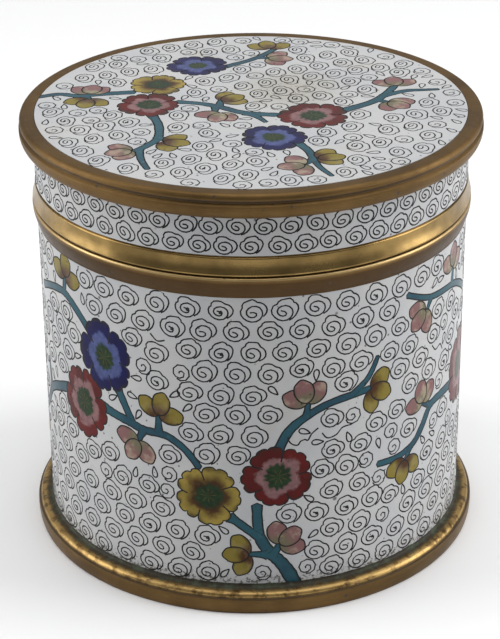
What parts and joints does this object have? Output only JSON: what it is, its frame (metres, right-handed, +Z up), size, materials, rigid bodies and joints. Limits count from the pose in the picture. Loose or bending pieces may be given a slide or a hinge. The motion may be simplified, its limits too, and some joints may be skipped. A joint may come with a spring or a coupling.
{
  "type": "enamel box",
  "caption": "Round lidded box of enamelled copper with brass rings; the lid lifts off a collar and the box is hollow.",
  "frame": {"origin": "centre of the foot ring's underside, on the surface that the box stands on", "axes": "+Z up along the box's axis; -Y towards the side that the picture shows; +X to its right"},
  "size_m": [0.1, 0.1, 0.0963],
  "materials": {
    "enamel": "glossy pale grey-white enamel with inlaid wire cloud scrolls and coloured branches, buds and flowers",
    "aged_brass": "satin, browned with age, grime in the grooves",
    "polished_brass": "worn bright, lightly spotted"
  },
  "bodies": {
    "root": {"drum": "enamel", "foot_ring": "aged_brass", "mouth_ring": "aged_brass", "lid_band": "polished_brass", "lid_cap": "enamel", "lid_rim": "aged_brass"}
  },
  "joints": []
}
